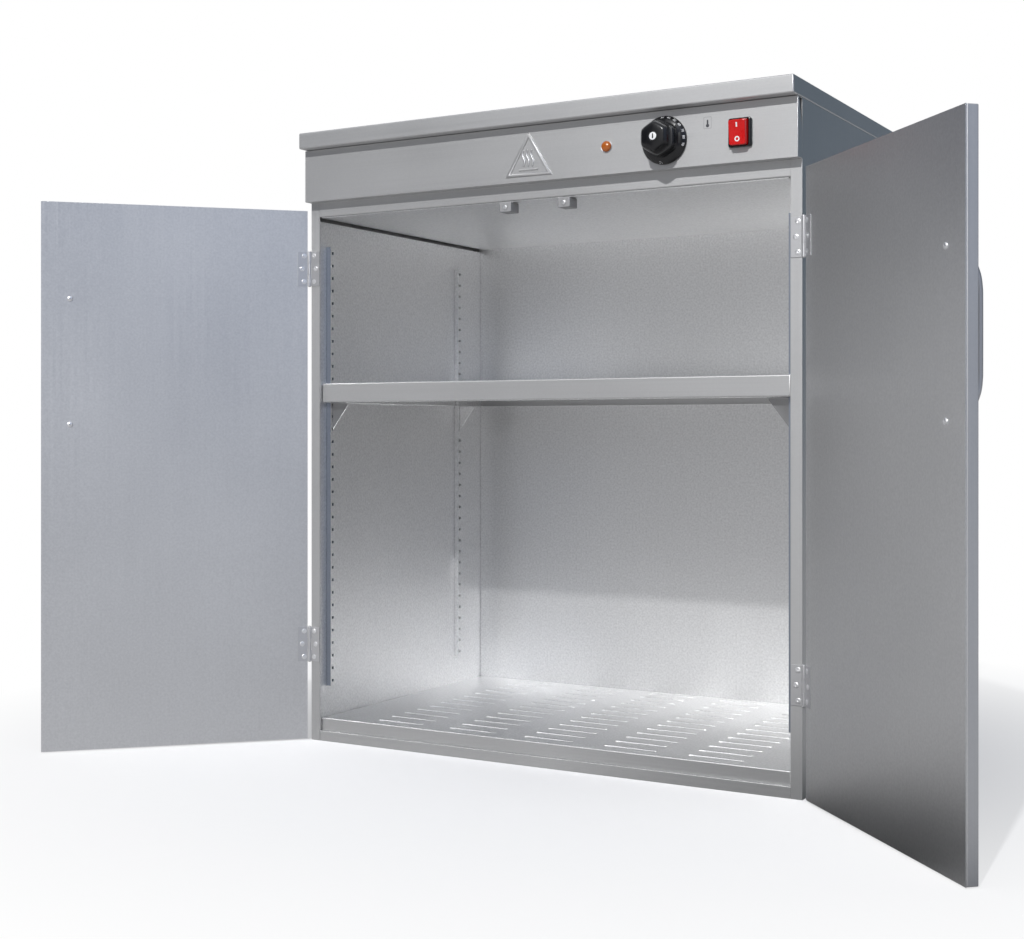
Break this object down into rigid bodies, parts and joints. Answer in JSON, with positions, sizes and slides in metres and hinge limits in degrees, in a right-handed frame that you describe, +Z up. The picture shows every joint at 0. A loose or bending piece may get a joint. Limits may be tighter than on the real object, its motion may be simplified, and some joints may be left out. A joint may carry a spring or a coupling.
{
  "type": "food holding cabinet",
  "caption": "Free-standing two-door heated cabinet in folded sheet steel, with a shelf on perforated rails, a slotted floor tray and a front control panel.",
  "frame": {"origin": "centre of the body's footprint, on the floor", "axes": "+Z up, doors face -Y, controls to the right of centre at +X"},
  "size_m": [1.3022, 0.7571, 0.882],
  "materials": {
    "brushed_steel": "fine brushed stainless",
    "side_steel": "fine brushed stainless",
    "lining_steel": "fine-grained stainless lining",
    "zinc_plate": "bright zinc plate",
    "black_plastic": "gloss moulding",
    "grey_plastic": "satin moulding",
    "red_plastic": "gloss moulding",
    "amber_lens": "clear amber moulding",
    "copper": "bright copper",
    "element_sheath": "heat-darkened steel sheath",
    "ceramic": "glazed",
    "cord_rubber": "matte"
  },
  "bodies": {
    "cabinet": {"worktop": "brushed_steel", "control_panel": "brushed_steel", "top_rail": "brushed_steel", "left_side_panel": "side_steel", "right_side_panel": "side_steel", "left_inner_panel": "lining_steel", "right_inner_panel": "lining_steel", "back_panel": "lining_steel", "base_pan": "lining_steel", "ceiling_panel": "lining_steel", "worktop_stiffener": "lining_steel", "left_front_shelf_rail": "lining_steel", "left_front_shelf_clip": "zinc_plate", "left_rear_shelf_rail": "lining_steel", "left_rear_shelf_clip": "zinc_plate", "left_lower_hinge_frame_leaf": "zinc_plate", "left_lower_hinge_pin": "zinc_plate", "left_upper_hinge_frame_leaf": "zinc_plate", "left_upper_hinge_pin": "zinc_plate", "left_door_catch": "grey_plastic", "left_element_bracket": "zinc_plate", "right_front_shelf_rail": "lining_steel", "right_front_shelf_clip": "zinc_plate", "right_rear_shelf_rail": "lining_steel", "right_rear_shelf_clip": "zinc_plate", "right_lower_hinge_frame_leaf": "zinc_plate", "right_lower_hinge_pin": "zinc_plate", "right_upper_hinge_frame_leaf": "zinc_plate", "right_upper_hinge_pin": "zinc_plate", "right_door_catch": "grey_plastic", "right_element_bracket": "zinc_plate", "switch_housing": "black_plastic", "cable_gland": "black_plastic", "mains_plug": "black_plastic", "thermostat_body": "grey_plastic", "pilot_lamp_body": "grey_plastic", "pilot_lamp_lens": "amber_lens", "sensor_bulb": "copper", "heating_element": "element_sheath", "terminal_block": "ceramic", "wiring_loom": "cord_rubber", "power_cable": "cord_rubber"},
    "left_door": {"left_door_outer_skin": "brushed_steel", "left_door_handle": "brushed_steel", "left_door_inner_skin": "lining_steel", "left_handle_lower_screw": "zinc_plate", "left_lower_hinge_door_leaf": "zinc_plate", "left_handle_upper_screw": "zinc_plate", "left_upper_hinge_door_leaf": "zinc_plate"},
    "right_door": {"right_door_outer_skin": "brushed_steel", "right_door_handle": "brushed_steel", "right_door_inner_skin": "lining_steel", "right_handle_lower_screw": "zinc_plate", "right_lower_hinge_door_leaf": "zinc_plate", "right_handle_upper_screw": "zinc_plate", "right_upper_hinge_door_leaf": "zinc_plate"},
    "knob": {"thermostat_knob": "black_plastic"},
    "rocker": {"switch_rocker": "red_plastic"},
    "shelf_body": {"shelf": "lining_steel"},
    "tray_body": {"floor_tray": "lining_steel"}
  },
  "joints": [
    {"name": "left_door_hinge", "type": "hinge", "parent": "cabinet", "child": "left_door", "pos_m": [-0.3775, -0.22665, 0.4], "axis": [0, 0, -1], "range_deg": [-134.7, 45.3]},
    {"name": "right_door_hinge", "type": "hinge", "parent": "cabinet", "child": "right_door", "pos_m": [0.3775, -0.22665, 0.4], "axis": [0, 0, 1], "range_deg": [-133.9, 46.1]},
    {"name": "thermostat_turn", "type": "hinge", "parent": "cabinet", "child": "knob", "pos_m": [0.198, -0.24, 0.82], "axis": [0, 1, 0], "range_deg": [0, 270]},
    {"name": "switch_rock", "type": "hinge", "parent": "cabinet", "child": "rocker", "pos_m": [0.301, -0.243, 0.82], "axis": [-1, 0, 0], "range_deg": [0, 14]},
    {"name": "shelf_lift", "type": "slide", "parent": "cabinet", "child": "shelf_body", "axis": [0, 0, 1], "range_m": [0, 0.2]},
    {"name": "floor_tray_lift", "type": "slide", "parent": "cabinet", "child": "tray_body", "axis": [0, 0, 1], "range_m": [0, 0.04]}
  ]
}
